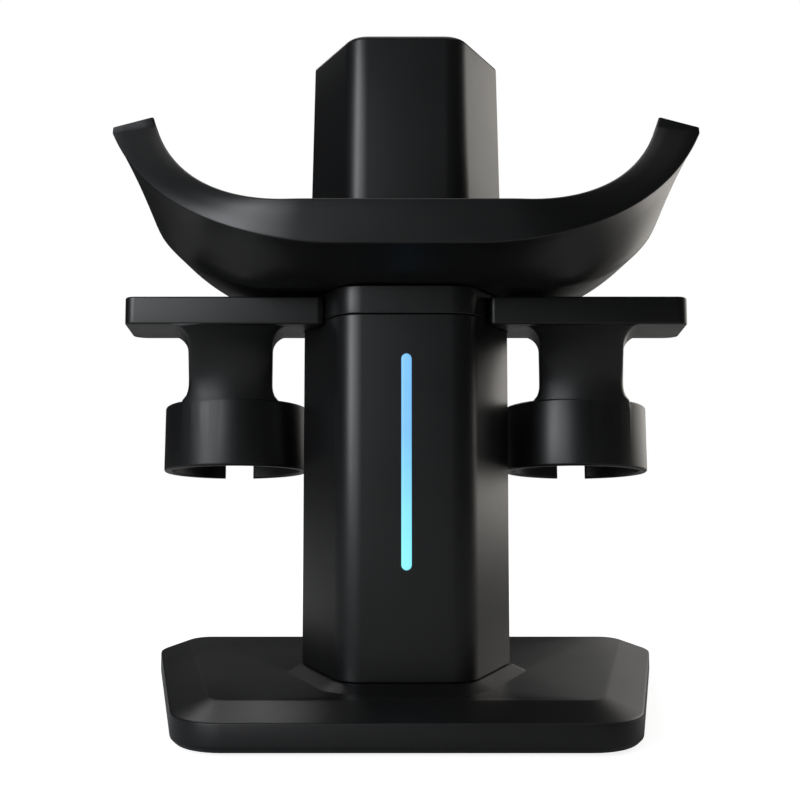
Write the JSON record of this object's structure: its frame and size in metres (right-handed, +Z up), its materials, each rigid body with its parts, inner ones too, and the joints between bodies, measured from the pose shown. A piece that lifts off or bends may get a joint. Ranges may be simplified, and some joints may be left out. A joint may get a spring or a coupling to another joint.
{
  "type": "vr headset and controller stand",
  "caption": "Free-standing dock: a curved cradle and mast hold a headset, two hanging split rings hold its hand controllers, and a column carries a light strip above a weighted base",
  "frame": {"origin": "the middle of the footprint, on the surface the stand rests on", "axes": "+Z up; -Y is the front with the light strip; +X is the right-hand side seen from the front"},
  "size_m": [0.2456, 0.16, 0.281],
  "materials": {
    "satin_plastic": "satin black moulded ABS with a fine even grain",
    "inner_plastic": "matt black moulded ABS",
    "rubber": "soft black rubber",
    "steel": "zinc-plated steel",
    "post_steel": "galvanised square steel tube",
    "contact_metal": "gold-plated brass",
    "circuit_board": "green solder-masked board",
    "light_guide": "milky light guide, lit sky blue at the top and cyan at the bottom"
  },
  "bodies": {
    "stand": {"base_shell": "satin_plastic", "base_plate": "inner_plastic", "foot_1": "rubber", "foot_2": "rubber", "foot_3": "rubber", "foot_4": "rubber", "base_screw_1": "steel", "base_screw_2": "steel", "base_screw_3": "steel", "base_screw_4": "steel", "base_screw_5": "steel", "base_screw_6": "steel", "ballast_left": "steel", "ballast_right": "steel", "charge_board": "circuit_board", "usb_socket": "steel", "button_switch": "inner_plastic", "core_post": "post_steel", "post_bolt_1": "steel", "post_bolt_2": "steel", "post_bolt_3": "steel", "post_bolt_4": "steel", "column_front": "satin_plastic", "column_rear": "satin_plastic", "column_screw_1": "steel", "column_screw_2": "steel", "column_screw_3": "steel", "column_screw_4": "steel", "light_guide": "light_guide", "led_board": "circuit_board", "led_lead": "rubber", "collar": "satin_plastic", "arm_right": "satin_plastic", "arm_left": "satin_plastic", "arm_screw_1": "steel", "arm_screw_2": "steel", "arm_screw_3": "steel", "arm_screw_4": "steel", "cradle_shell": "satin_plastic", "cradle_liner": "inner_plastic", "cradle_bolt_1": "steel", "cradle_bolt_2": "steel", "cradle_bolt_3": "steel", "cradle_bolt_4": "steel", "contact_cup": "inner_plastic", "contact_spring": "steel", "mast_front": "satin_plastic", "mast_rear": "satin_plastic", "mast_screw_1": "steel", "mast_screw_2": "steel"},
    "contact": {"contact_head": "contact_metal"},
    "light_button": {"light_button": "satin_plastic"}
  },
  "joints": [
    {"name": "contact_press", "type": "slide", "parent": "stand", "child": "contact", "axis": [0.8772, 0, -0.4801], "range_m": [0, 0.0015], "stiffness_N_per_m": 350, "springref_m": -0.0008},
    {"name": "light_button_press", "type": "slide", "parent": "stand", "child": "light_button", "axis": [0, -1, 0], "range_m": [0, 0.0008], "stiffness_N_per_m": 1800, "springref_m": -0.0003}
  ]
}
